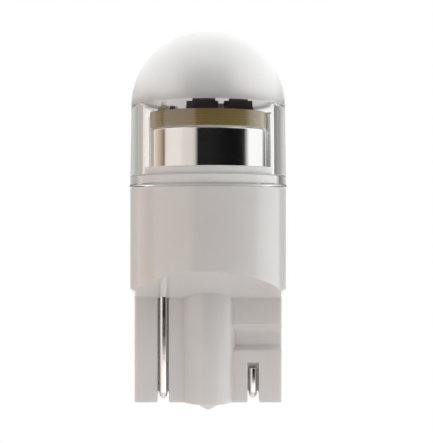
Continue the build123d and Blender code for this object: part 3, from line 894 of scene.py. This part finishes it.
base, tree, shader, place = new_finish(
    "base_plastic", IOR=1.5, Coat_IOR=1.65, Coat_Roughness=0.14,
    Subsurface_Weight=0.3, Subsurface_Radius=(1.0, 0.95, 0.9), Subsurface_Scale=0.9 * MM
)
where = add_node(tree, "ShaderNodeSeparateXYZ")
join(tree, place, where.inputs[0])
seat = add_node(tree, "ShaderNodeMapRange", From_Min=sleeve_low.z, From_Max=sleeve_low.z + SEAT_FADE)
join(tree, where.outputs["Z"], seat.inputs["Value"])
grain = use_group(tree, grain_group, Place=place, Cloud_Size=3.0, Grain_Size=0.14)
edges = use_group(tree, edge_group, Width=vary(tree, seat.outputs[0], BODY_EDGE_WIDTH, SEAT_EDGE_WIDTH))
tone = mix_node(tree, grain["Clouds"], (0.652, 0.637, 0.625), (0.682, 0.668, 0.657))
# Edges are mixed towards a paler tone: a painted highlight where the small rounds catch light.
tone = mix_node(tree, math_node(tree, "MULTIPLY", edges["Edge"], EDGE_HIGHLIGHT_SHARE), tone, EDGE_HIGHLIGHT_TONE)
# The seat's whiter tone is painted light, standing in for light that reaches the seat through the clear
# window.
join(tree, mix_node(tree, seat.outputs[0], tone, SEAT_PAINTED_LIGHT), shader.inputs["Base Color"])
join(tree, vary(tree, seat.outputs[0], 1.0, 0.0), shader.inputs["Coat Weight"])
join(tree, vary(tree, grain["Grain"], 0.34, 0.46), shader.inputs["Roughness"])
bump(tree, shader, grain["Grain"], depth=0.0012, normal=edges["Normal"])
dress(base, "base_housing")

# %% [markdown]
# ## Clear window plastic
#
# The window is clear and polished in the mould, so it is smooth, with the index of polycarbonate. In the
# photograph its face hardly mirrors anything, so the tint of its reflection is kept low. A glass shader
# stops the light that walls send straight through. A shadow ray therefore meets a Transparent shader in
# its place. Very faint flow marks from moulding move the normal a little.

# %% Finish the window
clear, tree, shader, place = new_finish(
    "clear_plastic", IOR=1.58, Metallic=0.0, Transmission_Weight=1.0, Specular_Tint=0.2
)
flow = use_group(tree, grain_group, Place=place, Cloud_Size=1.6, Grain_Size=0.4)
tone = mix_node(tree, flow["Clouds"], (0.98, 0.98, 0.975), (0.99, 0.99, 0.985))
join(tree, tone, shader.inputs["Base Color"])
join(tree, vary(tree, flow["Clouds"], 0.0, 0.012), shader.inputs["Roughness"])
bump(tree, shader, flow["Clouds"], depth=0.0006)
shadow = add_node(tree, "ShaderNodeLightPath").outputs["Is Shadow Ray"]
passing = add_node(tree, "ShaderNodeBsdfTransparent", Color=(0.99, 0.99, 0.985, 1))
through = add_node(tree, "ShaderNodeMixShader")
join(tree, shadow, through.inputs[0])
tree.links.new(shader.outputs[0], through.inputs[1])
tree.links.new(passing.outputs[0], through.inputs[2])
tree.links.new(through.outputs[0], tree.nodes["Material Output"].inputs["Surface"])
window.data.materials.append(clear)
print(clear.name, "on", window.name)

# %% [markdown]
# ## Opal dome plastic
#
# Opal plastic is clear resin full of fine white powder. Light wanders far inside it, so its hollow side
# is bright too. Full subsurface light with a long reach does that. In the photograph the dome is bright
# at the sides and on top and grey in the middle, which is a soft mirror image of the room. A rough coat
# with a high index gives it.

# %% Finish the dome
opal, tree, shader, place = new_finish(
    "opal_plastic", IOR=1.49, Coat_Weight=1.0, Coat_IOR=2.9, Coat_Roughness=0.38,
    Subsurface_Weight=1.0, Subsurface_Radius=(1.0, 0.97, 0.94), Subsurface_Scale=6.0 * MM
)
haze = use_group(tree, grain_group, Place=place, Cloud_Size=2.4, Grain_Size=0.16)
tone = mix_node(tree, haze["Clouds"], (0.795, 0.793, 0.787), (0.815, 0.812, 0.807))
join(tree, tone, shader.inputs["Base Color"])
join(tree, vary(tree, haze["Grain"], 0.28, 0.36), shader.inputs["Roughness"])
bump(tree, shader, haze["Grain"], depth=0.0006)
dome.data.materials.append(opal)
print(opal.name, "on", dome.name)

# %% [markdown]
# ## Polished metal of the barrel
#
# The barrel is turned aluminium, polished and plated. It keeps the last trace of the lathe as rings far
# finer than a hair, which spread a reflection slightly up and down.

# %% Finish the barrel
bright, tree, shader, place = new_finish("bright_metal", Metallic=1.0)
marks = use_group(tree, turning_group, Place=place, Pitch=0.035)["Marks"]
clouds = use_group(tree, grain_group, Place=place, Cloud_Size=1.2, Grain_Size=0.1)["Clouds"]
tone = mix_node(tree, clouds, (0.93, 0.93, 0.93), (0.955, 0.955, 0.955))
join(tree, tone, shader.inputs["Base Color"])
join(tree, vary(tree, marks, 0.03, 0.07), shader.inputs["Roughness"])
bump(tree, shader, marks, depth=0.00025)
barrel.data.materials.append(bright)
print(bright.name, "on", barrel.name)

# %% [markdown]
# ## Tinned wire and solder
#
# The wires are copper, dipped in tin: bright, with slight waves along them. Solder is the same metal,
# frozen from a drop, with dull patches where it crystallised. Both are metal with clouds that move tint,
# roughness and height, only by different amounts. The joints on the round board were made by hand and
# still wear their olive flux.

# %% Finish the wires and the solder
def tin_finish(name, tints, roughness, cloud_size, depth):
    """Bright tin with clouds of a size in millimetres between two tints and two roughnesses."""
    material, tree, shader, place = new_finish(name, Metallic=1.0)
    grain = use_group(tree, grain_group, Place=place, Cloud_Size=cloud_size, Grain_Size=0.06)
    join(tree, mix_node(tree, grain["Clouds"], *tints), shader.inputs["Base Color"])
    join(tree, vary(tree, grain["Clouds"], *roughness), shader.inputs["Roughness"])
    bump(tree, shader, grain["Clouds"], depth)
    return material


tinned = tin_finish(
    "tinned_wire", tints=((0.87, 0.86, 0.84), (0.93, 0.925, 0.915)),
    roughness=(0.10, 0.20), cloud_size=0.8, depth=0.002
)
for wire in contact_pieces + feed_pieces:
    wire.data.materials.append(tinned)
solder = tin_finish(
    "solder", tints=((0.74, 0.74, 0.73), (0.84, 0.84, 0.83)),
    roughness=(0.18, 0.42), cloud_size=0.25, depth=0.008
)
dress(solder, "contact_solder_joints", "driver_chip_leads", "board_resistor_caps", "driver_part_ends")
fluxed = tin_finish(
    "fluxed_solder", tints=((0.20, 0.18, 0.09), (0.38, 0.35, 0.21)),
    roughness=(0.25, 0.5), cloud_size=0.3, depth=0.01
)
dress(fluxed, "feed_solder_joints")

# %% [markdown]
# ## Circuit board laminate
#
# The round board is seen edge on. Its cut edge is olive brown, sealed with resin, and so shiny that both
# cards show in it, with brown and green patches and the layers of glass cloth as fine lighter lines. Its
# faces carry a white mask. The upright board inside the barrel is the same laminate with a green mask,
# and only the direction of its faces differs.

# %% Finish both boards
BROWN_RESIN = (0.275, 0.138, 0.034)
GREEN_RESIN = (0.185, 0.172, 0.030)
CLOTH_LINE = (0.290, 0.230, 0.095)
WHITE_MASK = ((0.74, 0.73, 0.70), (0.80, 0.79, 0.765))
GREEN_MASK = ((0.02, 0.10, 0.045), (0.03, 0.13, 0.06))


def laminate_finish(name, axis, mask_tones):
    """Board laminate whose masked faces look along one axis."""
    material, tree, shader, place = new_finish(
        name, Coat_Weight=1.0, Coat_Roughness=0.08, Coat_IOR=2.0, IOR=1.5
    )
    where = add_node(tree, "ShaderNodeSeparateXYZ")
    join(tree, place, where.inputs[0])
    cloth = use_group(tree, laminate_group, Place=place, Through=where.outputs[axis])
    facing = add_node(tree, "ShaderNodeSeparateXYZ")
    join(tree, add_node(tree, "ShaderNodeTexCoord").outputs["Normal"], facing.inputs[0])
    face = math_node(tree, "GREATER_THAN", math_node(tree, "ABSOLUTE", facing.outputs[axis]), 0.8)
    patches = use_group(tree, grain_group, Place=place, Cloud_Size=0.8, Grain_Size=0.1)["Clouds"]
    resin = mix_node(tree, patches, BROWN_RESIN, GREEN_RESIN)
    lines = math_node(tree, "MULTIPLY", cloth["Layers"], 0.5)
    edge = mix_node(tree, lines, resin, CLOTH_LINE)
    mask = mix_node(tree, cloth["Weave"], *mask_tones)
    join(tree, mix_node(tree, face, edge, mask), shader.inputs["Base Color"])
    join(tree, vary(tree, cloth["Weave"], 0.35, 0.5), shader.inputs["Roughness"])
    bump(tree, shader, cloth["Layers"], depth=0.004)
    return material


dress(laminate_finish("board_laminate", "Z", WHITE_MASK), "led_board")
dress(laminate_finish("driver_laminate", "Y", GREEN_MASK), "driver_board")

# %% [markdown]
# ## Black packages
#
# The packages are moulded from epoxy filled with quartz and soot: very dark, half matt, with a fine
# sparkle where a grain of quartz lies at the surface. The moulding's edges are painted slightly paler,
# a painted highlight for the sheen they catch.

# %% Finish the packages
black, tree, shader, place = new_finish("chip_black", IOR=1.5)
grain = use_group(tree, grain_group, Place=place, Cloud_Size=0.7, Grain_Size=0.05)
edges = use_group(tree, edge_group, Width=0.03)
soot = mix_node(tree, grain["Clouds"], (0.011, 0.0105, 0.010), (0.018, 0.0175, 0.017))
# Paler edges: a painted highlight for the sheen on the moulding's edges.
painted_edge_sheen = math_node(tree, "MULTIPLY", edges["Edge"], 0.5)
tone = mix_node(tree, painted_edge_sheen, soot, (0.05, 0.05, 0.048))
join(tree, tone, shader.inputs["Base Color"])
join(tree, vary(tree, grain["Grain"], 0.38, 0.58), shader.inputs["Roughness"])
bump(tree, shader, grain["Grain"], depth=0.0015, normal=edges["Normal"])
dress(black, "driver_chip_left", "driver_chip_right", "rectifier_diodes")

# %% [markdown]
# ## Ceramics, carrier, phosphor and pad
#
# The small parts under the dome differ in body colour and shine, and all are fired or cured from powder.
# One helper gives each its two tones, its shine and the size of its grain. The phosphor is silicone full
# of yellow powder, so light goes into it, and the pad is pale silicone.

# %% Finish the small parts
def powder_finish(name, tones, roughness, grain_size, depth, **values):
    """A fired or cured body of two tones with a grain in millimetres."""
    material, tree, shader, place = new_finish(name, **values)
    grain = use_group(tree, grain_group, Place=place, Cloud_Size=6 * grain_size, Grain_Size=grain_size)
    join(tree, mix_node(tree, grain["Clouds"], *tones), shader.inputs["Base Color"])
    join(tree, vary(tree, grain["Grain"], *roughness), shader.inputs["Roughness"])
    bump(tree, shader, grain["Grain"], depth)
    return material


dark = powder_finish(
    "ceramic_dark", tones=((0.02, 0.02, 0.022), (0.035, 0.034, 0.033)),
    roughness=(0.22, 0.34), grain_size=0.05, depth=0.001
)
dress(dark, "board_resistors", "load_resistor")
tan_body = powder_finish(
    "ceramic_tan", tones=((0.36, 0.24, 0.13), (0.45, 0.31, 0.18)),
    roughness=(0.35, 0.5), grain_size=0.08, depth=0.002
)
dress(tan_body, "smoothing_capacitor")
carrier = powder_finish(
    "led_white", tones=((0.82, 0.82, 0.80), (0.87, 0.87, 0.85)),
    roughness=(0.4, 0.52), grain_size=0.06, depth=0.001
)
dress(carrier, "led_package")
phosphor = powder_finish(
    "led_phosphor", tones=((0.85, 0.62, 0.06), (0.92, 0.72, 0.12)),
    roughness=(0.32, 0.5), grain_size=0.05, depth=0.004,
    Subsurface_Weight=0.3, Subsurface_Scale=0.2 * MM
)
dress(phosphor, "led_phosphor")
pad = powder_finish(
    "pad_silicone", tones=((0.78, 0.78, 0.76), (0.86, 0.86, 0.84)),
    roughness=(0.55, 0.75), grain_size=0.07, depth=0.004
)
dress(pad, "thermal_pad")
